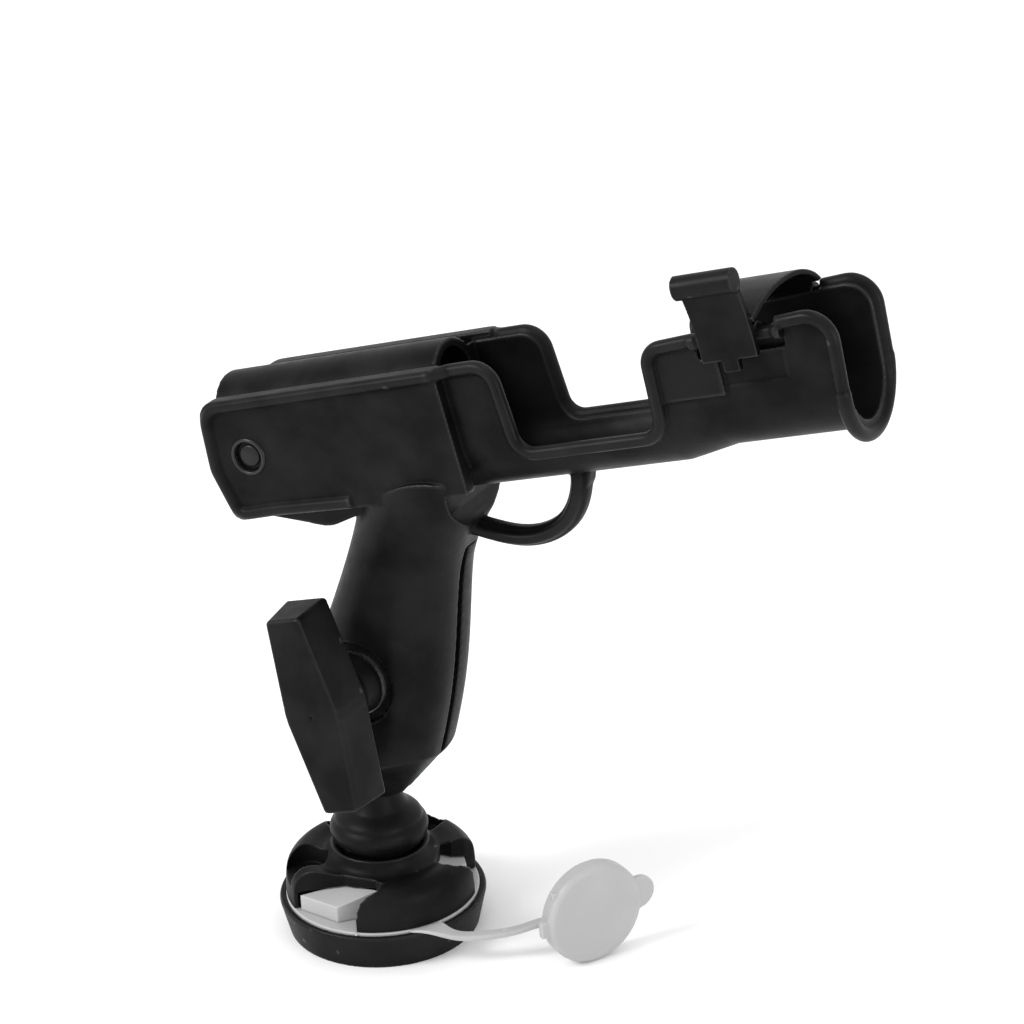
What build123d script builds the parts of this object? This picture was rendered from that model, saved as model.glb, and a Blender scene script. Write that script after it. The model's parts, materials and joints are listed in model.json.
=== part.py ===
from build123d import *
import math
import os

# Rod holder on a ball arm and quick-release port. Millimetres and degrees.
# Row frame: +X towards the rod tip, +Z up, -Y is the knob side, origin under the port on the deck.

# ---- port ----
BASE_R_TOP = 41.3
BASE_R_FOOT = 38.0
BASE_H = 14.8
RING_SEAT_Z = 13.9
RING_R = 38.6
RING_T = 1.8
DOME_Z = RING_SEAT_Z + RING_T
DOME_R = 38.4
COLLAR_R = 19.5
COLLAR_Z = 36.6
WELL_R = 15.0
WELL_FLOOR = 3.0
PORT_AZ = -32.0          # the port's line of symmetry, seen from above
SCREW_SPREAD = 113.0     # the two seen screw recesses
SCREW_PCD = 60.0
SCREW_HOLE_R = 2.6
RECESS_R = 9.0
RECESS_FLOOR = 24.0
OPEN_SIDE = (-4.5, 9.0)  # width of the outward opening of the near recess, across its radius
CLOSED_RECESS_R = 8.6
CLOSED_RECESS_AT = 28.4
TAB_PLAN = ((36.6, 91.0), (33.7, 60.3), (24.4, 31.8), (22.2, 72.0))   # radius, angle off the port's line
TAB_PUSH_AT = 70.0       # each tab slides inwards along this angle off the port's line
TAB_FRONT_Z = 22.3       # top of the front edge, 34 mm out along the slide
TAB_SLOPE = 0.3
TAB_TRAVEL = 2.0
TAB_GAP = 0.5
POCKET_EDGE = (           # edge of a pocket's opening in the dome: out along the slide, towards the port's line
    (46.0, 11.0), (34.6, 16.6), (31.7, 18.0), (26.0, 21.0), (21.6, 20.0), (19.6, 14.0), (22.5, 6.6), (23.8, 1.3),
)
NEAR_EDGE = ((33.0, -12.8), (35.0, -15.5), (46.0, -20.0))   # the near opening runs right past its tab
FAR_EDGE = ((28.0, 2.2), (33.6, 0.2), (46.0, -8.0))         # the far one stops short behind a piece of wall
SPRING_SIDE = 4.5        # the return spring stands this far towards the port's line
SPRING_X0, SPRING_X1 = 16.6, 20.6
SPRING_Z = 21.9

# ---- post and ball ----
BALL_Z = 80.0
BALL_R = 19.05
CORE_R = 17.5
SKIN_GAP = 0.05
SKIN_OPENING = 58.0      # half angle of the hole in the skin around the neck
NECK_R = 8.0
POST_Z = 37.5
BULGE_R = 19.5
BOSS_R = WELL_R - 0.05
BOSS_Z = 7.0
POST_SCREW_R = 3.0

# ---- arm: local frame t forward, s up the arm, turned about the ball centre ----
ARM_LEAN = 14.0
ARM_STATIONS = (          # s, middle in t, half width along t, half depth along Y
    (-20.0, 0.4, 29.4, 24.0),
    (16.0, 0.4, 29.4, 24.5),
    (52.0, 1.6, 26.4, 23.6),
    (90.0, 1.2, 21.8, 21.8),
    (116.0, 2.1, 22.9, 21.2),
)
SHOULDER_STATIONS = (     # the neck spreads over the cheeks above the clamp
    (90.0, 1.2, 21.8, 21.8),
    (104.0, 2.4, 21.7, 23.3),
    (118.0, 4.6, 23.4, 26.0),
    (140.0, 9.0, 31.0, 26.0),
)
SHOULDER_TOP = ((-9.0, 113.0), (-4.0, 120.5), (3.0, 127.0), (12.0, 132.0), (21.0, 134.5))
ARM_ROUND = 0.80          # corner radius as a share of the half depth
ARM_WALL = 3.6
SEAM_HALF = 2.0
LEDGE_S = 99.0
LIP_ANGLE = 50.0
BOLT_T = -2.2
BOLT_S = 37.4
BOLT_R = 4.0
BOSS_TUBE_R = 9.5
WASHER_R = 13.0
WASHER_T = 1.4
WASHER_SEAT_Y = -21.6
COUNTERBORE_R = 16.7
SPRING_R = 5.7
SPRING_WIRE = 1.1

# ---- knob, measured from its own axis ----
KNOB_LEAN = 14.7
KNOB_FRONT_Y = -55.0
KNOB_BACK_Y = -36.5
KNOB_HALF_LENGTH = 39.3
KNOB_END_HALF = 7.4
KNOB_MID_HALF = 11.6
KNOB_DRAFT = 1.8
KNOB_HUB_Y = WASHER_SEAT_Y - WASHER_T - 0.05
INSERT_R = 6.5

# ---- cradle: local frame u along the rod, v = Y, w up, turned nose up ----
CRADLE_TILT = 15.0
WALL = 3.2
BEAD_R = 2.5
CHEEK_V = 24.8            # centre plane of the cheek bead
CHEEK_BACK_U = 6.6
CHEEK_TOP_W = 228.4
JOG_U = 112.0
MOUTH_U = 105.5
ROOF_R = 15.6
ROOF_W = 217.0
ROOF_BACK_U = 6.5
BELLY = ((8.0, 196.0), (14.0, 180.5), (44.0, 172.0), (61.0, 176.0), (66.0, 196.0))   # side view, u and w
BELLY_HALF = 18.0
BORE_R = 14.5
BORE_W = 204.5
KEY_HALF = 9.5
KEY_W = 219.4
REAR_CHAMBER_U = 30.0
FLARE_U = 93.0
TROUGH_R = 20.3
TROUGH_W = 197.0
RIM_V = 20.6              # centre plane of the trough and collar bead
RIM_LOW_W = 191.4
RIM_HIGH_W = 223.4
OPENING_BACK_U = 134.0
OPENING_FRONT_U = 194.9
COLLAR_U = 193.5
CREASE_U = 220.5
TAPER_LENGTH = 19.0      # the round bottom narrows over this length in front of the reel opening
SIDE_FOOT_W = 203.0      # the upright walls stay wide above this height, up to the crease
FRONT_R = 18.4
FRONT_W = 198.7
NOSE_U = 265.5
NOSE_RISE = 3.7
BAR_U0, BAR_U1 = 214.0, 246.0
BAR_R = 2.4
WINDOW_W, WINDOW_H = 223.0, 12.2
PANEL_U, PANEL_W = 232.7, 211.0
PANEL_LENGTH, PANEL_H, PANEL_DEPTH = 23.5, 11.0, 0.6
PIN_U, PIN_W = 23.3, 205.7
PIN_R = 5.6
PIN_RING_R = 8.8

# ---- strap, in the cradle frame ----
STRAP_U0, STRAP_U1 = 218.4, 241.5
STRAP_FAR_U1 = 247.0
HUB_U1 = 243.6
LEVER_U1 = 239.3
LEVER_T = 3.0
ARCH_T = 2.0
ARCH_LINE = ((-25.8, 229.4), (-19.4, 232.4), (-9.0, 235.1), (0.8, 235.7), (9.8, 234.4), (17.0, 230.8), (20.6, 226.6))
LEVER_LINE = ((-25.2, 216.8), (-25.0, 223.0), (-25.8, 232.0), (-29.0, 244.8))
STRAP_HUB_R = 4.2
FINGER_R = 4.3
FINGER_V, FINGER_W = LEVER_LINE[-1]
FINGER_U0, FINGER_U1 = 217.0, 239.5

# ---- tether and cap ----
TETHER_AZ = -36.0         # the web leaves the ring about this azimuth
TETHER_ROOT_R = 39.4      # its hinge line, measured along that azimuth
TETHER_ROOT_Z = 15.5
TETHER_GAP = 0.1
TETHER_ROOT_T = 1.1
TETHER_ROOT_W = 12.4
TETHER_STATIONS = (       # x, y, z of the middle, heading, width, thickness
    ((36.0, -22.2, 15.75), -12.0, 8.8, 1.5),
    ((40.4, -21.4, 14.5), 8.0, 6.4, 2.0),
    ((44.4, -19.4, 12.9), 28.0, 5.0, 2.4),
    ((51.3, -15.0, 12.1), 33.0, 4.6, 2.4),
    ((58.0, -10.8, 12.4), 32.0, 4.4, 2.4),
    ((65.5, -6.2, 13.9), 31.0, 4.4, 2.4),
    ((71.8, -2.4, 15.9), 31.0, 4.4, 2.6),
    ((77.0, 0.8, 17.6), 32.0, 4.6, 2.8),
)
CAP_R = 20.8
CAP_T = 7.0
CAP_CENTRE = (93.0, 4.0, 20.8)
CAP_FACE_AZ = -33.0


def polar(radius, azimuth, z=0.0):
    """A point given by radius and azimuth about the Z axis."""
    a = math.radians(azimuth)
    return (radius * math.cos(a), radius * math.sin(a), z)


def in_arm(shape):
    """Arm frame to row frame."""
    return Pos(0, 0, BALL_Z) * Rot(0, ARM_LEAN, 0) * shape


def in_cradle(shape):
    """Cradle frame to row frame."""
    return Rot(0, -CRADLE_TILT, 0) * shape


def y_rod(radius, x, z, y0, y1):
    """A cylinder along Y from y0 to y1."""
    return Pos(x, y1, z) * Rot(90, 0, 0) * Cylinder(radius, y1 - y0, align=(Align.CENTER, Align.CENTER, Align.MIN))


def x_rod(radius, x0, x1, y, z):
    """A cylinder along X from x0 to x1."""
    return Pos(x0, y, z) * Rot(0, 90, 0) * Cylinder(radius, x1 - x0, align=(Align.CENTER, Align.CENTER, Align.MIN))


def side_plate(points, radii, v0, v1):
    """A rounded side-view outline, given thickness from v0 to v1."""
    outline = make_face(FilletPolyline(*points, radius=radii, close=True))
    return Pos(0, v1, 0) * extrude(Plane.XZ * outline, v1 - v0)


def bead(path, radius):
    """A round bar along a smooth path."""
    return sweep(Plane(path @ 0, z_dir=path % 0) * Circle(radius), path=path)


def revolved(line):
    """Turn a closed half profile, drawn in X and Z, into a solid about Z."""
    return revolve(make_face(line), Axis.Z)


def in_xz(points):
    """Profile points (r, z) as points of the XZ plane."""
    return [(r, 0, z) for r, z in points]


# ---- port ----
def tab_outline(grow=0.0):
    """Plan of the near tab with its slide along +X: two front facets, a flank and a back."""
    corners = [polar(radius, TAB_PUSH_AT - angle) for radius, angle in TAB_PLAN]
    outline = make_face(Polyline(*corners, close=True))
    return offset(outline, grow, kind=Kind.INTERSECTION) if grow else outline


def at_tab(side, shape):
    """Put a shape drawn for the near tab's slide onto the near (-1) or far (1) tab."""
    if side > 0:
        shape = mirror(shape, Plane.XZ)
    return Rot(0, 0, PORT_AZ + side * TAB_PUSH_AT) * shape


SCREW_AZIMUTHS = (PORT_AZ - SCREW_SPREAD, PORT_AZ + SCREW_SPREAD, PORT_AZ + 180.0)


def port_base_ring():
    """Tapered ring with a raised lip, a floor and the round well for the boss."""
    lip = 1.0
    profile = Polyline(
        *in_xz([(0, 0), (BASE_R_FOOT, 0), (BASE_R_TOP, BASE_H - lip), (BASE_R_TOP - lip * 0.4, BASE_H)]),
        *in_xz([(RING_R + 0.3, BASE_H), (RING_R + 0.3, RING_SEAT_Z), (WELL_R, RING_SEAT_Z)]),
        *in_xz([(WELL_R, WELL_FLOOR), (0, WELL_FLOOR)]),
        close=True,
    )
    ring = revolved(profile)
    for azimuth in SCREW_AZIMUTHS:
        ring -= Pos(polar(SCREW_PCD / 2, azimuth, -1)) * Cylinder(
            SCREW_HOLE_R, BASE_H + 2, align=(Align.CENTER, Align.CENTER, Align.MIN))
    return ring


def tether_ring():
    """Flat ring under the dome, with a small moulding nub at the front."""
    ring = Pos(0, 0, RING_SEAT_Z) * extrude(Circle(RING_R) - Circle(26.0), RING_T)
    for azimuth in SCREW_AZIMUTHS:
        ring -= Pos(polar(SCREW_PCD / 2, azimuth, RING_SEAT_Z - 1)) * Cylinder(
            SCREW_HOLE_R, RING_T + 2, align=(Align.CENTER, Align.CENTER, Align.MIN))
    nub = Pos(polar(RING_R + 0.5, -76.0, RING_SEAT_Z + 1.3)) * Sphere(0.7)
    reach = TETHER_ROOT_R - TETHER_GAP - RING_R + 1.0
    pad = Pos(RING_R - 1.0 + reach / 2, 0) * Rectangle(reach, TETHER_ROOT_W) - Circle(RING_R - 0.5)
    pad = Rot(0, 0, TETHER_AZ) * Pos(0, 0, BASE_H + 0.05) * extrude(pad, DOME_Z - BASE_H - 0.1)
    above_lip = Pos(0, 0, BASE_H + 0.05) * Cylinder(60, 10, align=(Align.CENTER, Align.CENTER, Align.MIN))
    return ring + (nub & above_lip) + pad


def above_tab(lift):
    """Everything above the sloping top of a tab, raised by lift."""
    inner, outer = TAB_FRONT_Z + 24.0 * TAB_SLOPE + lift, TAB_FRONT_Z - 10.0 * TAB_SLOPE + lift
    outline = make_face(Polyline(*in_xz([(10.0, inner), (44.0, outer), (44.0, 60), (10.0, 60)]), close=True))
    return Pos(0, 40, 0) * extrude(outline, 80, dir=(0, -1, 0))


def tab_pocket(edge):
    """Roofed room for the near tab through its travel, its opening in the dome and its spring seat."""
    outline = tab_outline(TAB_GAP)
    swept = make_hull((outline + Pos(-TAB_TRAVEL - 0.3, 0) * outline).edges())
    room = Pos(0, 0, DOME_Z - 1) * extrude(swept, 20) - above_tab(0.6)
    opening = Pos(0, 0, DOME_Z - 1) * extrude(make_face(Polyline(*POCKET_EDGE, *edge, close=True)), 40)
    return room + opening + x_rod(3.0, SPRING_X0, SPRING_X1 + 2, SPRING_SIDE, SPRING_Z)


def screw_recess(azimuth, opened):
    """Round recess over a deck screw; the near one is also open outwards."""
    recess = Pos(CLOSED_RECESS_AT, 0) * Circle(CLOSED_RECESS_R)
    if opened:
        low, high = OPEN_SIDE
        recess = Pos(SCREW_PCD / 2, 0) * Circle(RECESS_R)
        recess += Pos(SCREW_PCD / 2, low) * Rectangle(30, high - low, align=Align.MIN)
    return Rot(0, 0, azimuth) * Pos(0, 0, RECESS_FLOOR) * extrude(recess, 30)


def port_dome():
    """Bell-shaped dome with a valley round its collar, the well, the recesses and two tab pockets."""
    shoulder = Spline(
        *in_xz([(DOME_R, DOME_Z + 2.5), (38.2, 23.5), (36.8, 28.6), (33.5, 31.8), (30.0, 32.5)]),
        tangents=((0, 0, 1), (-1, 0, 0)),
    )
    valley = Spline(
        *in_xz([(30.0, 32.5), (26.2, 31.6), (23.2, 31.2), (20.9, 33.0), (COLLAR_R, COLLAR_Z)]),
        tangents=((-1, 0, 0), (-0.3, 0, 1)),
    )
    foot = Polyline(*in_xz([(WELL_R, 33.0), (WELL_R, DOME_Z), (DOME_R, DOME_Z), (DOME_R, DOME_Z + 2.5)]))
    rim = Polyline(*in_xz([(COLLAR_R, COLLAR_Z), (COLLAR_R - 1.0, COLLAR_Z), (WELL_R, 33.0)]))
    dome = revolved(Wire([shoulder, valley, *foot.edges(), *rim.edges()]))
    for azimuth in SCREW_AZIMUTHS:
        dome -= screw_recess(azimuth, azimuth == SCREW_AZIMUTHS[0])
        dome -= Pos(polar(SCREW_PCD / 2, azimuth, 0)) * Cylinder(SCREW_HOLE_R, 60)
    dome -= at_tab(-1, tab_pocket(NEAR_EDGE))
    return dome - at_tab(1, tab_pocket(FAR_EDGE))


def release_tab(side):
    """Push tab: upright front facets under a flat top that slopes up towards the collar."""
    body = Pos(0, 0, DOME_Z + 0.1) * extrude(tab_outline(), 20) - above_tab(0.0)
    return at_tab(side, body)


def coil(radius, wire, length, turns):
    """Coil spring along +Z from z = 0, its wire ends inside the given length."""
    pitch = (length - 2 * wire) / turns
    helix = Helix(pitch, pitch * turns, radius)
    path = Pos(0, 0, wire) * helix
    return sweep(Plane(path @ 0, z_dir=path % 0) * Circle(wire / 2), path=path, is_frenet=True)


def tab_spring(side):
    """Small return spring between the well wall and the back of a tab."""
    spring = coil(2.2, 0.5, SPRING_X1 - SPRING_X0 - 0.1, 3)
    return at_tab(side, Pos(SPRING_X0 + 0.05, SPRING_SIDE, SPRING_Z) * Rot(0, 90, 0) * spring)


# ---- tether ----
def tether_section(point, heading, width, thick):
    """Cross-section of the tether at a point, square to a level heading."""
    plane = Plane(point, x_dir=polar(1, heading + 90), z_dir=polar(1, heading))
    return plane * RectangleRounded(width, thick, thick * 0.35)


def cap_strap():
    """Web that leaves the ring along its hinge line and narrows to the strap of the cap."""
    root = polar(TETHER_ROOT_R, TETHER_AZ, TETHER_ROOT_Z)
    sections = [tether_section(root, TETHER_AZ, TETHER_ROOT_W, TETHER_ROOT_T)]
    for station in TETHER_STATIONS:
        sections.append(tether_section(*station))
    return loft(sections)


def socket_cap():
    """Cupped disc on its edge, with a finger tab and the lug the strap joins."""
    disc = Cylinder(CAP_R, CAP_T, align=(Align.CENTER, Align.CENTER, Align.MAX))
    disc = fillet(disc.edges().sort_by(Axis.Z)[-1], 2.4)
    disc -= Pos(0, 0, -CAP_T) * Cylinder(CAP_R - 2.2, CAP_T - 2.4, align=(Align.CENTER, Align.CENTER, Align.MIN))
    finger = Pos(polar(CAP_R - 0.6, 8.0, -2.2)) * Cylinder(7.0, 2.2)
    finger -= Cylinder(CAP_R - 1.0, 20)
    nib = Pos(polar(CAP_R + 0.3, 144.0, -3.0)) * Box(2.4, 2.6, 2.4)
    lug = Pos(polar(CAP_R + 0.6, 182.0, -3.0)) * Rot(0, 0, 182.0) * Box(4.6, 7.0, 2.6)
    cap = disc + finger + nib + lug
    face = Plane(CAP_CENTRE, x_dir=polar(1, CAP_FACE_AZ + 90), z_dir=polar(1, CAP_FACE_AZ))
    return face * cap


# ---- post ----
def star_boss():
    """Boss in the well, scalloped below and counterbored for its screw."""
    boss = Pos(0, 0, BOSS_Z) * Cylinder(BOSS_R, POST_Z - BOSS_Z, align=(Align.CENTER, Align.CENTER, Align.MIN))
    for k in range(8):
        boss -= Pos(polar(BOSS_R + 1.6, 45.0 * k, BOSS_Z - 1)) * Cylinder(
            3.2, 9.0, align=(Align.CENTER, Align.CENTER, Align.MIN))
    boss -= Cylinder(POST_SCREW_R + 0.2, 200)
    boss -= Pos(0, 0, BOSS_Z - 1) * Cylinder(5.6, 8.0, align=(Align.CENTER, Align.CENTER, Align.MIN))
    return boss


def post_screw():
    """Socket-head screw from below, through the boss into the post."""
    head = Pos(0, 0, BOSS_Z + 1.0) * Cylinder(5.0, 6.0, align=(Align.CENTER, Align.CENTER, Align.MIN))
    shank = Pos(0, 0, BOSS_Z + 6.5) * Cylinder(POST_SCREW_R, 38.5, align=(Align.CENTER, Align.CENTER, Align.MIN))
    key = Pos(0, 0, BOSS_Z) * extrude(RegularPolygon(2.5, 6), 4.0)
    return head + shank - key


def ball_post():
    """Two-tier bulge, waisted neck and the core of the ball, bored for its screw."""
    neck_top = BALL_Z - math.sqrt(CORE_R ** 2 - NECK_R ** 2)
    lower = Spline(*in_xz([(17.3, POST_Z), (19.0, 40.2), (BULGE_R, 43.4), (17.6, 46.9)]))
    tier = Spline(*in_xz([(17.6, 46.9), (17.3, 48.0), (15.2, 50.3), (12.0, 52.6)]))
    neck = Spline(*in_xz([(12.0, 52.6), (9.6, 57.0), (NECK_R, neck_top)]))
    ball = ThreePointArc(*in_xz([(NECK_R, neck_top), (CORE_R, BALL_Z), (0, BALL_Z + CORE_R)]))
    axis = Line(*in_xz([(0, BALL_Z + CORE_R), (0, POST_Z)]))
    foot = Line(*in_xz([(0, POST_Z), (17.3, POST_Z)]))
    post = revolved(Wire([lower, tier, neck, ball, axis, foot]))
    bore = Pos(0, 0, POST_Z - 1) * Cylinder(POST_SCREW_R, 16.0, align=(Align.CENTER, Align.CENTER, Align.MIN))
    return post - bore


def ball_cover():
    """Rubber skin of the ball, open below for the neck."""
    skin = Sphere(BALL_R) - Sphere(CORE_R + SKIN_GAP)
    return in_arm(skin - lip_cone(SKIN_OPENING))


def lip_cone(half_angle):
    """Cone from the ball centre down the arm axis, to cut round openings."""
    depth = 60.0
    return Cone(depth * math.tan(math.radians(half_angle)), 0, depth, align=(Align.CENTER, Align.CENTER, Align.MAX))


# ---- arm ----
def arm_loft(stations, inset=0.0):
    """Rounded arm section drawn up the arm, shrunk all round by the inset."""
    sections = []
    for s, middle, half_t, half_y in stations:
        corner = ARM_ROUND * half_y - inset
        sections.append(Pos(middle, 0, s) * RectangleRounded(2 * (half_t - inset), 2 * (half_y - inset), corner))
    return loft(sections)


def arm_shoulder():
    """Top of the neck, spread over both cheeks under a rounded upper edge."""
    top = Spline(*in_xz(SHOULDER_TOP))
    rest = Polyline(*in_xz([SHOULDER_TOP[-1], (21.6, 126.6), (22.5, 121.0), (26.0, 113.0), (26.0, 80.0)]),
                    *in_xz([(-26.0, 80.0), (-26.0, 104.0), SHOULDER_TOP[0]]))
    outline = make_face(Wire([top, *rest.edges()]))
    return arm_loft(SHOULDER_STATIONS) & (Pos(0, 40, 0) * extrude(outline, 80, dir=(0, -1, 0)))


def arm_blank():
    """Outside of the closed arm: lofted upper, chamfered socket end, ball socket and its mouth."""
    profile = Polyline(
        *in_xz([(0, -22), (14.5, -22), (18.2, -14.2), (26.8, 3.5), (32.4, 13.5), (46.0, 28.0), (46.0, 130), (0, 130)]),
        close=True,
    )
    blank = arm_loft(ARM_STATIONS) & revolved(profile)
    return blank + arm_shoulder() - Sphere(BALL_R + SKIN_GAP) - lip_cone(LIP_ANGLE)


def arm_core():
    """Hollow inside of the arm above the socket, leaving the tube round the bolt."""
    core = arm_loft(ARM_STATIONS[1:4], ARM_WALL) & Pos(0, 0, 25.0) * Box(100, 100, 66.0, align=(Align.CENTER, Align.CENTER, Align.MIN))
    return core - y_rod(BOSS_TUBE_R, BOLT_T, BOLT_S, -60, 60)


def bolt_cuts():
    """Bolt clearance hole and the spring seats either side of the seam."""
    return y_rod(BOLT_R + 0.2, BOLT_T, BOLT_S, -60, 60) + y_rod(SPRING_R + 1.2, BOLT_T, BOLT_S, -10, 10)


def far_side(s_top, y_from):
    """Block that holds everything beyond a seam plane and below a height on the arm."""
    return Pos(0, y_from, -60) * Box(140, 60, s_top + 60, align=(Align.CENTER, Align.MIN, Align.MIN))


def arm_near_half():
    """Near half and the full-depth neck above the ledge, in the arm frame."""
    half = arm_blank() - far_side(LEDGE_S, -SEAM_HALF) - arm_core() - bolt_cuts()
    return half - y_rod(COUNTERBORE_R, BOLT_T, BOLT_S, -60, WASHER_SEAT_Y)


def arm_far_half():
    """Far clamp half with a heel that bears on the near half below the ledge."""
    half = (arm_blank() - arm_core()) & far_side(LEDGE_S - 1.0, SEAM_HALF)
    heel = Pos(0, -SEAM_HALF + 0.05, 91.5) * Box(30, 8.0, 5.0, align=(Align.CENTER, Align.MIN, Align.MIN))
    half += heel
    half -= bolt_cuts()
    pocket = extrude(RegularPolygon(7.6, 6), 20)
    half -= Pos(BOLT_T, 17.4, BOLT_S) * Rot(-90, 0, 0) * pocket
    return in_arm(half)


def clamp_bolt():
    """Hex-head bolt from the far half through the near half into the knob."""
    head = extrude(RegularPolygon(7.5, 6), 5.3)
    bolt = Pos(BOLT_T, 17.45, BOLT_S) * Rot(-90, 0, 0) * head
    bolt += y_rod(BOLT_R, BOLT_T, BOLT_S, -47.0, 18.0)
    return in_arm(bolt)


def clamp_spring():
    """Spring round the bolt that opens the arm when the knob is slackened."""
    spring = coil(SPRING_R, SPRING_WIRE, 19.8, 5)
    return in_arm(Pos(BOLT_T, 9.9, BOLT_S) * Rot(90, 0, 0) * spring)


# ---- knob ----
def knob_outline(grow):
    """Long hexagon of the wing, widest in the middle."""
    end, mid, length = KNOB_END_HALF + grow, KNOB_MID_HALF + grow, KNOB_HALF_LENGTH + grow * 0.6
    right = [(end, length), (mid, 2.0), (mid, -2.0), (end, -length)]
    left = [(-x, z) for x, z in reversed(right)]
    return make_face(FilletPolyline(*right, *left, radius=1.6, close=True))


def at_bolt(shape):
    """Put a shape drawn about its own Y axis onto the bolt axis, leaned with the wing."""
    return in_arm(Pos(BOLT_T, 0, BOLT_S) * Rot(0, -ARM_LEAN - KNOB_LEAN, 0) * shape)


def knob():
    """Drafted wing with softened edges and a hub that flares to the washer."""
    front = Plane.XZ.offset(-KNOB_FRONT_Y) * knob_outline(0.0)
    back = Plane.XZ.offset(-KNOB_BACK_Y) * knob_outline(KNOB_DRAFT)
    wing = Solid.make_loft([front.face().outer_wire(), back.face().outer_wire()])
    wing = fillet(wing.faces().sort_by(Axis.Y)[0].edges(), 1.2)
    hub_profile = Polyline(
        (0, KNOB_HUB_Y), (12.7, KNOB_HUB_Y), (12.4, KNOB_HUB_Y - 2.0), (10.6, -31.0), (11.6, -38.0), (0, -38.0),
        close=True,
    )
    hub = revolve(make_face(hub_profile), Axis.Y)
    body = wing + hub
    body -= y_rod(INSERT_R + 0.02, 0, 0, -44.0, -20.0)
    body -= y_rod(BOLT_R + 0.3, 0, 0, -49.0, -20.0)
    body -= Pos(0, KNOB_FRONT_Y, 0) * Sphere(0.7)
    return at_bolt(body)


def knob_insert():
    """Threaded metal sleeve moulded into the knob."""
    return at_bolt(y_rod(INSERT_R, 0, 0, -44.0, KNOB_HUB_Y) - y_rod(BOLT_R + 0.05, 0, 0, -60, 0))


def knob_washer():
    """Steel washer in the counterbore of the near half."""
    y0 = WASHER_SEAT_Y - WASHER_T
    return at_bolt(y_rod(WASHER_R, 0, 0, y0, WASHER_SEAT_Y) - y_rod(BOLT_R + 0.25, 0, 0, -60, 0))


# ---- cradle, all in its own frame until the end ----
def u_channel(radius, centre_w, u0, u1):
    """Solid with a round bottom and upright sides, open upwards when subtracted."""
    box = Pos(u0, 0, centre_w) * Box(u1 - u0, 2 * radius, 60, align=(Align.MIN, Align.CENTER, Align.MIN))
    return x_rod(radius, u0, u1, 0, centre_w) + box


def wall_outline():
    """Side view of the walls from the jog to the nose, top edge on the bead centre line."""
    points = [
        (JOG_U - 8, 165), (JOG_U - 8, CHEEK_TOP_W - BEAD_R), (OPENING_BACK_U - 1.5, CHEEK_TOP_W - BEAD_R),
        (OPENING_BACK_U + 0.5, RIM_LOW_W), (OPENING_FRONT_U - 1.5, RIM_LOW_W),
        (OPENING_FRONT_U, RIM_HIGH_W - 0.4), (NOSE_U, RIM_HIGH_W + NOSE_RISE), (NOSE_U - 3.5, 165),
    ]
    return side_plate(points, (0, 0, 8.0, 8.0, 8.0, 6.5, 9.0, 0), -40, 40)


def rim_bead(side):
    """Rolled rim down into the reel opening, up again and over the front corner."""
    points = [
        (JOG_U + 4, RIM_V, CHEEK_TOP_W - BEAD_R), (OPENING_BACK_U - 1.5, RIM_V, CHEEK_TOP_W - BEAD_R),
        (OPENING_BACK_U + 0.5, RIM_V, RIM_LOW_W), (OPENING_FRONT_U - 1.5, RIM_V, RIM_LOW_W),
        (OPENING_FRONT_U, RIM_V, RIM_HIGH_W - 0.4), (NOSE_U, RIM_V, RIM_HIGH_W + NOSE_RISE), (NOSE_U - 2.0, RIM_V, FRONT_W),
    ]
    points = [(u, side * v, w) for u, v, w in points]
    path = FilletPolyline(*points, radius=(8.0, 8.0, 8.0, 6.5, 9.0))
    return bead(path, BEAD_R)


def cheek_bead(side):
    """Rolled rim round the rear cheek, open where the arm neck joins."""
    b = BEAD_R
    points = [
        (JOG_U - 3, CHEEK_TOP_W - b), (CHEEK_BACK_U + b, CHEEK_TOP_W - b), (CHEEK_BACK_U + b - 2.4, 202.0),
        (8.6 + b, 181.0 + b), (28.0, 181.4 + b), (62.0, 180.6 + b),
    ]
    path = FilletPolyline(*[(u, side * CHEEK_V, w) for u, w in points], radius=(8.0, 10.0, 5.0, 20.0))
    return bead(path, b)


def jog_bead(side):
    """Short slanting piece of rim that joins the cheek rim to the narrower trough rim."""
    w = CHEEK_TOP_W - BEAD_R
    start, end = (JOG_U - 3, side * CHEEK_V, w), (JOG_U + 4, side * RIM_V, w)
    return bead(Line(start, end), BEAD_R) + Pos(*start) * Sphere(BEAD_R) + Pos(*end) * Sphere(BEAD_R)


def nose_bead():
    """Thicker rolled lip round the bottom of the front mouth."""
    bottom = FRONT_W - RIM_V
    path = ThreePointArc((NOSE_U - 2.0, -RIM_V, FRONT_W), (NOSE_U - 4.0, 0, bottom), (NOSE_U - 2.0, RIM_V, FRONT_W))
    return bead(path, BEAD_R + 0.3)


def rear_block():
    """Cheeks, the solid between them, the roof tube and the rounded belly."""
    cheek = [(CHEEK_BACK_U, CHEEK_TOP_W), (JOG_U, CHEEK_TOP_W), (JOG_U, 180.3), (66.0, 180.5), (28.0, 181.4),
             (8.6, 181.0), (CHEEK_BACK_U - 2.4, 202.0)]
    radii = (8.0, 0, 0, 0, 20.0, 5.0, 10.0)
    core = side_plate(cheek, radii, -19.5, 19.5) & Pos(0, 0, 160) * Box(
        2 * MOUTH_U, 60, 59.5, align=(Align.CENTER, Align.CENTER, Align.MIN))
    block = core + side_plate(cheek, radii, 19.4, CHEEK_V + 0.6) + side_plate(cheek, radii, -CHEEK_V - 0.6, -19.4)
    block += x_rod(ROOF_R, ROOF_BACK_U, MOUTH_U, 0, ROOF_W)
    belly = side_plate(BELLY, (0, 12.0, 12.0, 7.0, 0), -BELLY_HALF, BELLY_HALF)
    return block + belly


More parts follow.
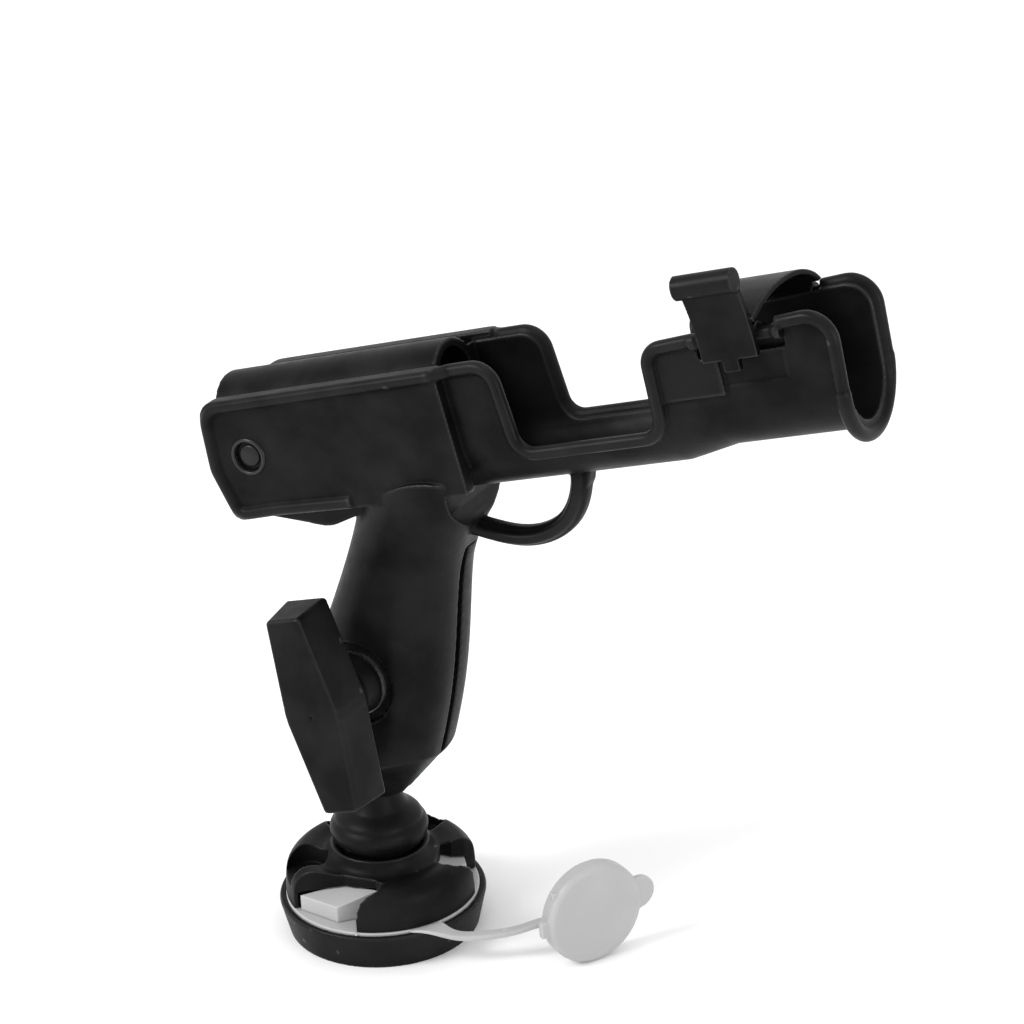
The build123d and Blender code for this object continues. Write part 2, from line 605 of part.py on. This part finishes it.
def rear_hollow():
    """Round butt bore with its key slot, flared mouth and square rear chamber."""
    hollow = x_rod(BORE_R, REAR_CHAMBER_U, MOUTH_U + 1, 0, BORE_W)
    hollow += x_rod(KEY_HALF, REAR_CHAMBER_U, MOUTH_U + 1, 0, KEY_W)
    hollow += Pos(REAR_CHAMBER_U, 0, BORE_W) * Box(
        MOUTH_U + 1 - REAR_CHAMBER_U, 2 * KEY_HALF, KEY_W - BORE_W, align=(Align.MIN, Align.CENTER, Align.MIN))
    hollow += x_rod(12.0, FLARE_U, MOUTH_U + 1, 0, ROOF_W)
    hollow += Pos(FLARE_U, 0, BORE_W) * Box(
        MOUTH_U + 1 - FLARE_U, 24.0, ROOF_W - BORE_W, align=(Align.MIN, Align.CENTER, Align.MIN))
    chamber = Pos(-5, 0, BORE_W) * Box(REAR_CHAMBER_U + 5, 31.0, 30.0, align=(Align.MIN, Align.CENTER, Align.CENTER))
    return hollow + fillet(chamber.edges().filter_by(Axis.X), 6.0)


def guard():
    """Finger guard under the trough, joining the neck behind it."""
    path = Spline((145.6, 0, 178.5), (142.6, 0, 168.5), (135.6, 0, 159.6), (125.4, 0, 155.0),
                  (114.5, 0, 154.6), (104.0, 0, 157.4), (92.0, 0, 162.2))
    section = Plane(path @ 0, x_dir=(0, 1, 0), z_dir=path % 0)
    rib = sweep(section * RectangleRounded(6.5, 7.6, 2.0), path=path)
    flange = sweep(section * RectangleRounded(11.5, 4.6, 2.0), path=path)
    root = side_plate([(143, 182), (153, 182), (148.6, 172), (144, 167)], (0, 0, 4.0, 0), -3.2, 3.2)
    return rib + flange + root


def latch_bars():
    """Round bars with end collars over shallow windows, one on each wall."""
    cut, add = None, None
    for side in (-1, 1):
        v = side * RIM_V
        window = Pos((BAR_U0 + BAR_U1) / 2, v, WINDOW_W) * Box(BAR_U1 - BAR_U0, 9.0, WINDOW_H)
        window += Pos(PANEL_U, side * FRONT_R, PANEL_W) * Box(PANEL_LENGTH, 2 * PANEL_DEPTH, PANEL_H)
        ends = [x_rod(3.0, u - 1.2, u + 1.2, v, RIM_HIGH_W) for u in (BAR_U0, BAR_U1)]
        bar = x_rod(BAR_R, BAR_U0 - 1, BAR_U1 + 1, v, RIM_HIGH_W) + ends[0] + ends[1]
        cut = window if cut is None else cut + window
        add = bar if add is None else add + bar
    return cut, add


def cradle_shell():
    """Trough, wider rear collar and narrower front collar as one thin wall."""
    outer = u_channel(TROUGH_R, TROUGH_W, MOUTH_U - 2, COLLAR_U)
    outer += u_channel(FRONT_R, FRONT_W, COLLAR_U - 1, NOSE_U + 4)
    across = Plane((COLLAR_U, 0, 0), x_dir=(0, 1, 0), z_dir=(1, 0, 0))
    wide, narrow = Pos(0, TROUGH_W) * Circle(TROUGH_R), Pos(0, FRONT_W, TAPER_LENGTH) * Circle(FRONT_R)
    outer += loft([across * wide, across * narrow])
    outer += Pos(COLLAR_U - 1, 0, SIDE_FOOT_W) * Box(
        CREASE_U - COLLAR_U + 1, 2 * TROUGH_R, 60, align=(Align.MIN, Align.CENTER, Align.MIN))
    return outer & wall_outline()


def cradle_hollow():
    """Space inside the trough and collar, open at the top and the nose."""
    inner = u_channel(TROUGH_R - WALL, TROUGH_W, MOUTH_U, COLLAR_U)
    inner += u_channel(FRONT_R - WALL + 0.4, FRONT_W, COLLAR_U - 1, NOSE_U + 20)
    return inner


def cradle_body():
    """The whole cradle moulding, in the row frame."""
    body = rear_block() + cradle_shell() + guard() + nose_bead()
    for side in (-1, 1):
        body += rim_bead(side) + cheek_bead(side) + jog_bead(side)
        body += y_rod(PIN_RING_R, PIN_U, PIN_W, min(side * 20, side * 25.6), max(side * 20, side * 25.6))
    hollow = rear_hollow() + cradle_hollow()
    cut, add = latch_bars()
    body = in_cradle(body) + in_arm(arm_near_half())
    body -= in_cradle(hollow + cut)
    body += in_cradle(add)
    body -= in_cradle(y_rod(PIN_R + 0.02, PIN_U, PIN_W, -40, 40))
    return body


def butt_pin():
    """Cross pin through both rear cheeks, just under flush."""
    pin = y_rod(PIN_R, PIN_U, PIN_W, -24.4, 24.4)
    return in_cradle(pin)


def strap_front():
    """Everything in front of the slanting front edge of the strap, in its own frame."""
    slope = (STRAP_FAR_U1 - STRAP_U1) / (2 * RIM_V)
    middle = (STRAP_FAR_U1 + STRAP_U1) / 2 - STRAP_U0
    edge = [(-60, middle - 60 * slope), (60, middle + 60 * slope), (60, 90), (-60, 90)]
    return Pos(0, 400, 0) * extrude(Plane.XZ * make_face(Polyline(*edge, close=True)), 400)


def locking_strap():
    """Hub round the far bar, arch, half knuckle over the near bar, lever plate and finger bar."""
    near, far, level = -RIM_V, RIM_V, RIM_HIGH_W
    strap = extrude(trace(Spline(*ARCH_LINE), ARCH_T), STRAP_FAR_U1 - STRAP_U0) - strap_front()
    strap += extrude(Pos(far, level) * Circle(STRAP_HUB_R), HUB_U1 - STRAP_U0)
    strap -= Pos(far, level, HUB_U1 - STRAP_U0) * Cylinder(5.2, 30, align=(Align.CENTER, Align.CENTER, Align.MIN))
    knuckle = Circle(STRAP_HUB_R) & Pos(0, STRAP_HUB_R / 2 + 0.3) * Rectangle(20, STRAP_HUB_R)
    strap += extrude(trace(Spline(*LEVER_LINE), LEVER_T) + Pos(near, level) * knuckle, LEVER_U1 - STRAP_U0)
    for v in (near, far):
        strap -= Pos(v, level) * Cylinder(BAR_R + 0.06, 200)
    strap += Pos(FINGER_V, FINGER_W, FINGER_U0 - STRAP_U0) * Cylinder(
        FINGER_R, FINGER_U1 - FINGER_U0, align=(Align.CENTER, Align.CENTER, Align.MIN))
    foot_v, foot_w = LEVER_LINE[0]
    tab = Pos(foot_v, foot_w - 1.5, (LEVER_U1 - STRAP_U0) / 2) * Box(LEVER_T, 5.0, 6.0)
    frame = Plane((STRAP_U0, 0, 0), x_dir=(0, 1, 0), z_dir=(1, 0, 0))
    return in_cradle(frame * (strap + tab))


def parts():
    """Every node of the row by name."""
    near, far = -1, 1
    return {
        "port_base_ring": port_base_ring(),
        "tether_ring": tether_ring(),
        "port_dome": port_dome(),
        "release_tab_near": release_tab(near),
        "release_tab_far": release_tab(far),
        "tab_spring_near": tab_spring(near),
        "tab_spring_far": tab_spring(far),
        "cap_strap": cap_strap(),
        "socket_cap": socket_cap(),
        "star_boss": star_boss(),
        "post_screw": post_screw(),
        "ball_post": ball_post(),
        "ball_cover": ball_cover(),
        "cradle_body": cradle_body(),
        "butt_pin": butt_pin(),
        "knob_washer": knob_washer(),
        "arm_far_half": arm_far_half(),
        "clamp_bolt": clamp_bolt(),
        "clamp_spring": clamp_spring(),
        "knob": knob(),
        "knob_insert": knob_insert(),
        "locking_strap": locking_strap(),
    }


os.makedirs("parts", exist_ok=True)
for name, shape in parts().items():
    export_step(shape, f"parts/{name}.step")
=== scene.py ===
import json
import math

import bmesh
import bpy
from mathutils import Matrix, Vector

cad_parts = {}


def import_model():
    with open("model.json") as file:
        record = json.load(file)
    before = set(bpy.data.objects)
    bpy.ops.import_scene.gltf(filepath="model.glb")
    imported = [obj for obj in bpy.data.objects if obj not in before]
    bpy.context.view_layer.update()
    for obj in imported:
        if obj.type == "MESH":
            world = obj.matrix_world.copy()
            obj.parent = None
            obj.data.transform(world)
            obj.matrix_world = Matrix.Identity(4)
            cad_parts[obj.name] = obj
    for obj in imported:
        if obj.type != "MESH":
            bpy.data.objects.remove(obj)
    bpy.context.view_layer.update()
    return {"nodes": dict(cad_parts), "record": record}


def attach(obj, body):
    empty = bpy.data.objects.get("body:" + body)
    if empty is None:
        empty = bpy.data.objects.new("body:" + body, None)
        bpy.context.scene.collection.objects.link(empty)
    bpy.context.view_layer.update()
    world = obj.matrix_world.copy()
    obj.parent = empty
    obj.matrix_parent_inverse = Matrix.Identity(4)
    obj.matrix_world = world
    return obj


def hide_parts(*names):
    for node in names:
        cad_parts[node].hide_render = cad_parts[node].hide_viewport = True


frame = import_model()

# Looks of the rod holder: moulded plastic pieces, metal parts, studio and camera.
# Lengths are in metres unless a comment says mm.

RECORD = frame["record"]
NODES = frame["nodes"]

# ---- driving sizes ----
MM = 0.001
BALL = Vector((0.0, 0.0, 0.080))
BOLT = Vector((0.00691, -0.045, 0.11682))    # on the bolt's axis, which runs along Y
PIN = Vector((-0.03073, 0.0, 0.20472))       # middle of the cross pin, which runs along Y

METAL_EDGE = 0.0002    # width of the broken edges of metal parts

# Outlines about the pin's axis: radius, then distance from the middle of the pin, in mm
PIN_RING = ((5.7, 25.0), (5.8, 26.0), (6.2, 26.5), (6.8, 26.5), (7.3, 26.1), (7.6, 25.0))
PIN_HEAD = ((0.0, 25.3), (3.6, 25.3), (4.2, 25.0), (4.5, 24.2), (4.5, 23.5))

# ---- camera and studio ----
VIEW_AZIMUTH = math.radians(28.0)
VIEW_ELEVATION = math.radians(23.0)
VIEW_ROLL = math.radians(-2.5)
VIEW_TARGET = Vector((0.0656, 0.0, 0.1873))
VIEW_DISTANCE = 1.1025
VIEW_LENS = 105.47
SENSOR = 36.0
BACKGROUND = 0.98
FLOOR_SIZE = 14.0

# name: place, size of the square, power in watts
SOFTBOXES = {
    "key": ((-0.9, -1.2, 1.3), 0.6, 22.0),
    "top": ((0.3, 0.2, 1.9), 0.7, 3.0),
    "side": ((1.4, -0.5, 0.5), 0.5, 4.0),
}


class Graph:
    """Adds and links the shader nodes of one material."""

    def __init__(self, name):
        self.material = bpy.data.materials.new(name)
        self.material.use_nodes = True
        self.tree = self.material.node_tree
        self.shader = self.tree.nodes["Principled BSDF"]
        self.place = self.add("ShaderNodeTexCoord").outputs["Object"]

    def add(self, kind, inputs=None, **settings):
        node = self.tree.nodes.new(kind)
        for key, value in settings.items():
            setattr(node, key, value)
        for key, value in (inputs or {}).items():
            self.feed(node.inputs[key], value)
        return node

    def feed(self, socket, value):
        if isinstance(value, bpy.types.NodeSocket):
            self.tree.links.new(value, socket)
        else:
            socket.default_value = value

    def noise(self, scale, detail=2.0, roughness=0.5, place=None):
        inputs = {"Vector": place or self.place, "Scale": scale, "Detail": detail, "Roughness": roughness}
        return self.add("ShaderNodeTexNoise", inputs).outputs["Fac"]

    def ramp(self, value, low, high, out_low=0.0, out_high=1.0):
        inputs = {"Value": value, "From Min": low, "From Max": high, "To Min": out_low, "To Max": out_high}
        return self.add("ShaderNodeMapRange", inputs, clamp=True).outputs["Result"]

    def maths(self, operation, a, b):
        return self.add("ShaderNodeMath", {0: a, 1: b}, operation=operation).outputs[0]

    def mix(self, factor, a, b):
        node = self.add("ShaderNodeMix", data_type="RGBA")
        self.feed(node.inputs["Factor"], factor)
        self.feed(node.inputs[6], a)
        self.feed(node.inputs[7], b)
        return node.outputs[2]

    def bump(self, height, distance, strength, under=None):
        inputs = {"Height": height, "Distance": distance, "Strength": strength}
        if under is not None:
            inputs["Normal"] = under
        return self.add("ShaderNodeBump", inputs).outputs["Normal"]

    def curvature(self, low, high, out_high=1.0):
        """0 to out_high as the mesh's pointiness goes from low to high; flats are at 0.5."""
        pointiness = self.add("ShaderNodeNewGeometry").outputs["Pointiness"]
        return self.ramp(pointiness, low, high, 0.0, out_high)

    def set(self, **inputs):
        for key, value in inputs.items():
            self.feed(self.shader.inputs[key.replace("_", " ")], value)
        return self.material


def grey(level):
    """Neutral linear colour with full alpha."""
    return (level, level, level, 1.0)


# ---- materials ----
def black_plastic(name, level=0.0040, rough=0.42):
    """Satin glass-filled nylon: fine grain, cloudy flow marks, glossier edges with a painted highlight,
    painted shade in the hollows, and stray dust.
    """
    g = Graph(name)
    flow = g.ramp(g.noise(38.0, 3.0, 0.55), 0.38, 0.62)
    edge = g.curvature(0.507, 0.56)
    cell = g.add("ShaderNodeTexVoronoi", {"Vector": g.place, "Scale": 210.0, "Randomness": 1.0})
    rare = g.ramp(cell.outputs["Color"], 0.955, 0.96)
    dust = g.maths("MULTIPLY", g.ramp(cell.outputs["Distance"], 0.045, 0.03), rare)
    base = g.mix(flow, grey(level * 0.75), grey(level * 1.3))
    # Painted highlight: convex edges get a lighter base colour, and below a higher specular level, to stand
    # in for light catching the rims.
    base = g.mix(edge, base, grey(level * 2.6))
    base = g.mix(g.maths("MULTIPLY", dust, 0.5), base, grey(0.30))
    smear = g.ramp(g.noise(150.0, 4.0, 0.6), 0.3, 0.7, -0.05, 0.05)
    roughness = g.maths("ADD", g.ramp(flow, 0.0, 1.0, rough - 0.04, rough + 0.05), smear)
    roughness = g.maths("SUBTRACT", roughness, g.maths("MULTIPLY", edge, 0.10))
    fine = g.bump(g.noise(2600.0, 2.0), 0.00006, 0.22)
    swirl = g.bump(g.noise(260.0, 3.0), 0.00010, 0.10, fine)
    # Painted shade: hollows get a lower specular level, darkening creases and recesses.
    hollow = g.curvature(0.499, 0.47, 0.05)
    gloss = g.maths("ADD", g.ramp(flow, 0.0, 1.0, 0.07, 0.12), g.maths("MULTIPLY", edge, 0.24))
    gloss = g.maths("MAXIMUM", g.maths("SUBTRACT", gloss, hollow), 0.03)
    return g.set(Base_Color=base, Roughness=roughness, Normal=swirl, Specular_IOR_Level=gloss)


def grey_plastic(name, level):
    """Soft pale grey moulding, a little translucent, with faint cloudy variation and a painted highlight on
    the edges.
    """
    g = Graph(name)
    cloud = g.ramp(g.noise(60.0, 3.0), 0.35, 0.65)
    edge = g.curvature(0.507, 0.57)
    base = g.mix(cloud, grey(level * 0.97), grey(level * 1.02))
    # Painted highlight: convex edges get a lighter base colour.
    base = g.mix(edge, base, grey(min(level * 1.12, 0.9)))
    roughness = g.ramp(g.noise(420.0, 3.0), 0.3, 0.7, 0.40, 0.52)
    fine = g.bump(g.noise(2200.0, 2.0), 0.00005, 0.18)
    g.set(Subsurface_Weight=0.12, Subsurface_Scale=0.004, Subsurface_Radius=(1.0, 1.0, 1.0))
    return g.set(Base_Color=base, Roughness=roughness, Normal=fine)


def ball_rubber(name):
    """Dull rubber skin with a dusty bloom and a pebbled surface."""
    g = Graph(name)
    bloom = g.ramp(g.noise(110.0, 4.0, 0.6), 0.35, 0.7)
    base = g.mix(bloom, grey(0.010), grey(0.020))
    pebble = g.add("ShaderNodeTexVoronoi", {"Vector": g.place, "Scale": 1500.0}).outputs["Distance"]
    g.set(Sheen_Weight=0.12, Sheen_Roughness=0.5)
    roughness = g.ramp(bloom, 0.0, 1.0, 0.62, 0.78)
    return g.set(Base_Color=base, Roughness=roughness, Normal=g.bump(pebble, 0.00008, 0.3))


def turned_metal(name, color, centre, axis, rough):
    """Metal with fine lathe rings about an axis, uneven tone and uneven gloss."""
    g = Graph(name)
    turn = Vector(axis).to_track_quat("Z", "Y").to_matrix().transposed().to_euler()
    offset = {0: g.place, 1: tuple(-Vector(centre))}
    shifted = g.add("ShaderNodeVectorMath", offset, operation="ADD").outputs[0]
    turned = g.add("ShaderNodeMapping", {"Vector": shifted, "Rotation": tuple(turn)}).outputs[0]
    rings = g.add("ShaderNodeTexWave", {"Vector": turned, "Scale": 520.0, "Distortion": 0.6, "Detail": 2.0},
                  wave_type="RINGS", rings_direction="Z").outputs["Fac"]
    worn = g.ramp(g.noise(300.0, 4.0, 0.65), 0.35, 0.7)
    base = g.mix(worn, tuple(c * 0.86 for c in color) + (1.0,), tuple(color) + (1.0,))
    polish = g.ramp(worn, 0.0, 1.0, rough + 0.08, rough)
    roughness = g.maths("ADD", polish, g.ramp(rings, 0.0, 1.0, 0.0, 0.06))
    g.set(Metallic=1.0, Anisotropic=0.4)
    return g.set(Base_Color=base, Roughness=roughness, Normal=g.bump(rings, 0.00002, 0.35))


def floor_paint(name):
    """Matt studio sweep with the faintest mottling."""
    g = Graph(name)
    base = g.mix(g.ramp(g.noise(2.0, 3.0), 0.3, 0.7), grey(0.95), grey(0.96))
    return g.set(Base_Color=base, Roughness=0.9, Specular_IOR_Level=0.1)


# ---- pieces ----
def assign(obj, material):
    """One material on every slot."""
    if not obj.material_slots:
        obj.data.materials.append(material)
    for slot in obj.material_slots:
        slot.material = material


def body_of(node):
    """The body that carries a CAD node."""
    for body, members in RECORD["behaviour"]["bodies"].items():
        if node in members:
            return body


def evaluated_mesh(obj):
    """The mesh of an object with its modifiers applied."""
    graph = bpy.context.evaluated_depsgraph_get()
    return bpy.data.meshes.new_from_object(obj.evaluated_get(graph))


def soften(piece, voxel, passes, keep):
    """Even out the mesh, round its corners as moulded plastic, then thin it."""
    remesh = piece.modifiers.new("even", "REMESH")
    remesh.mode = "VOXEL"
    remesh.voxel_size = voxel * 1.0
    relax = piece.modifiers.new("relax", "SMOOTH")
    relax.factor = 0.5
    relax.iterations = passes
    thin = piece.modifiers.new("thin", "DECIMATE")
    thin.ratio = keep
    mesh = evaluated_mesh(piece)
    piece.modifiers.clear()
    piece.data = mesh
    for polygon in mesh.polygons:
        polygon.use_smooth = True


def moulded(name, node, material, voxel, passes, keep):
    """A softened copy of a CAD node, riding on the same body in its place."""
    mesh = NODES[node].data.copy()
    welded = bmesh.new()
    welded.from_mesh(mesh)
    bmesh.ops.remove_doubles(welded, verts=welded.verts, dist=1e-6)
    welded.to_mesh(mesh)
    welded.free()
    piece = bpy.data.objects.new(name, mesh)
    bpy.context.scene.collection.objects.link(piece)
    soften(piece, voxel, passes, keep)
    assign(piece, material)
    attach(piece, body_of(node))
    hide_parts(node)
    return piece


def lathed(name, profile, side, body, material, turns=72):
    """A ring or cap turned about the pin's axis, on the near (-1) or far (1) cheek."""
    mesh = bpy.data.meshes.new(name)
    work = bmesh.new()
    outline = [work.verts.new((radius * MM, 0.0, height * MM)) for radius, height in profile]
    edges = [work.edges.new(pair) for pair in zip(outline, outline[1:])]
    bmesh.ops.spin(work, geom=outline + edges, axis=(0, 0, 1), cent=(0, 0, 0), angle=2 * math.pi,
                   steps=turns, use_merge=True)
    bmesh.ops.remove_doubles(work, verts=work.verts, dist=1e-6)
    place = Matrix.Translation(PIN) @ Matrix.Rotation(-side * math.pi / 2, 4, "X")
    bmesh.ops.transform(work, matrix=place, verts=work.verts)
    bmesh.ops.recalc_face_normals(work, faces=work.faces)
    work.to_mesh(mesh)
    work.free()
    piece = bpy.data.objects.new(name, mesh)
    bpy.context.scene.collection.objects.link(piece)
    for polygon in mesh.polygons:
        polygon.use_smooth = True
    assign(piece, material)
    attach(piece, body)
    return piece


def finished(node, material, bevel=0.0):
    """A CAD node that stays, with its material and, where useful, broken edges."""
    obj = NODES[node]
    assign(obj, material)
    if bevel:
        edge = obj.modifiers.new("edge", "BEVEL")
        edge.width = bevel
        edge.segments = 2
        edge.limit_method = "ANGLE"
        edge.angle_limit = math.radians(35.0)
        edge.harden_normals = True
    return obj


black = black_plastic("black_plastic")
black_knob = black_plastic("black_knob", 0.0042, 0.40)
black_strap = black_plastic("black_strap", 0.0038, 0.38)
black_port = black_plastic("black_port", 0.0042, 0.44)
pale = grey_plastic("pale_plastic", 0.39)
pale_tab = grey_plastic("pale_tab", 0.40)
rubber = ball_rubber("ball_rubber")
steel = turned_metal("turned_steel", (0.62, 0.62, 0.63), BOLT, (0, 1, 0), 0.26)
spring_steel = turned_metal("spring_steel", (0.55, 0.55, 0.57), BALL, (0, 0, 1), 0.34)
brass = turned_metal("turned_brass", (0.70, 0.52, 0.24), BOLT, (0, 1, 0), 0.30)

# piece: CAD node, material, voxel of the even mesh, smoothing passes, share of faces kept
MOULDINGS = {
    "cradle_moulding": ("cradle_body", black, 0.00055, 6, 0.35),
    "arm_far_moulding": ("arm_far_half", black, 0.0005, 5, 0.4),
    "knob_moulding": ("knob", black_knob, 0.0004, 4, 0.4),
    "strap_moulding": ("locking_strap", black_strap, 0.0003, 4, 0.4),
    "pin_moulding": ("butt_pin", black, 0.0003, 3, 0.4),
    "dome_moulding": ("port_dome", black_port, 0.0004, 4, 0.4),
    "base_moulding": ("port_base_ring", black_port, 0.0004, 3, 0.4),
    "ring_moulding": ("tether_ring", pale, 0.00035, 3, 0.5),
    "post_moulding": ("ball_post", black_port, 0.0004, 4, 0.4),
    "boss_moulding": ("star_boss", black_port, 0.0005, 3, 0.4),
    "tab_near_moulding": ("release_tab_near", pale_tab, 0.00025, 3, 0.5),
    "tab_far_moulding": ("release_tab_far", pale_tab, 0.00025, 3, 0.5),
    "cap_moulding": ("socket_cap", pale, 0.00035, 4, 0.5),
    "tether_moulding": ("cap_strap", pale, 0.00025, 4, 0.5),
}
for name, (node, material, voxel, passes, keep) in MOULDINGS.items():
    moulded(name, node, material, voxel, passes, keep)

for side, where in ((-1, "near"), (1, "far")):
    lathed(f"pin_ring_{where}", PIN_RING, side, "cradle", black)
    lathed(f"pin_head_{where}", PIN_HEAD, side, "cradle", black)

finished("ball_cover", rubber)
finished("knob_washer", steel, METAL_EDGE)
finished("clamp_bolt", steel, METAL_EDGE)
finished("post_screw", steel, METAL_EDGE)
finished("knob_insert", brass, METAL_EDGE)
finished("clamp_spring", spring_steel)
finished("tab_spring_near", spring_steel)
finished("tab_spring_far", spring_steel)


# ---- studio ----
def look_at(obj, target):
    """Turn a light so that it shines at the target."""
    obj.rotation_euler = (Vector(target) - obj.location).to_track_quat("-Z", "Y").to_euler()


def softbox(name, place, size, power):
    """Square light aimed at the middle of the holder."""
    data = bpy.data.lights.new(name, "AREA")
    data.shape = "SQUARE"
    data.size = size
    data.energy = power
    obj = bpy.data.objects.new(name, data)
    bpy.context.scene.collection.objects.link(obj)
    obj.location = place
    look_at(obj, VIEW_TARGET)


def floor(size):
    """Level square under the holder."""
    mesh = bpy.data.meshes.new("floor")
    h = size / 2
    mesh.from_pydata([(-h, -h, 0), (h, -h, 0), (h, h, 0), (-h, h, 0)], [], [(0, 1, 2, 3)])
    obj = bpy.data.objects.new("floor", mesh)
    bpy.context.scene.collection.objects.link(obj)
    assign(obj, floor_paint("floor_paint"))


def world(strength):
    """Plain white surroundings."""
    sky = bpy.data.worlds.new("studio")
    bpy.context.scene.world = sky
    sky.use_nodes = True
    back = sky.node_tree.nodes["Background"]
    back.inputs["Color"].default_value = grey(1.0)
    back.inputs["Strength"].default_value = strength


def camera():
    """Camera on a sphere about the target, slightly rolled."""
    a, e, roll = VIEW_AZIMUTH, VIEW_ELEVATION, VIEW_ROLL
    back = Vector((math.sin(a) * math.cos(e), -math.cos(a) * math.cos(e), math.sin(e)))
    right = Vector((math.cos(a), math.sin(a), 0.0))
    up = back.cross(right)
    x_axis = right * math.cos(roll) + up * math.sin(roll)
    y_axis = up * math.cos(roll) - right * math.sin(roll)
    data = bpy.data.cameras.new("camera")
    data.sensor_width = SENSOR
    data.lens = VIEW_LENS
    obj = bpy.data.objects.new("camera", data)
    bpy.context.scene.collection.objects.link(obj)
    turn = Matrix((x_axis, y_axis, back)).transposed().to_4x4()
    obj.matrix_world = Matrix.Translation(VIEW_TARGET + back * VIEW_DISTANCE) @ turn
    bpy.context.scene.camera = obj


floor(FLOOR_SIZE)
world(BACKGROUND)
for name, (place, size, power) in SOFTBOXES.items():
    softbox(name, place, size, power)
camera()
bpy.context.scene.view_settings.view_transform = "Standard"
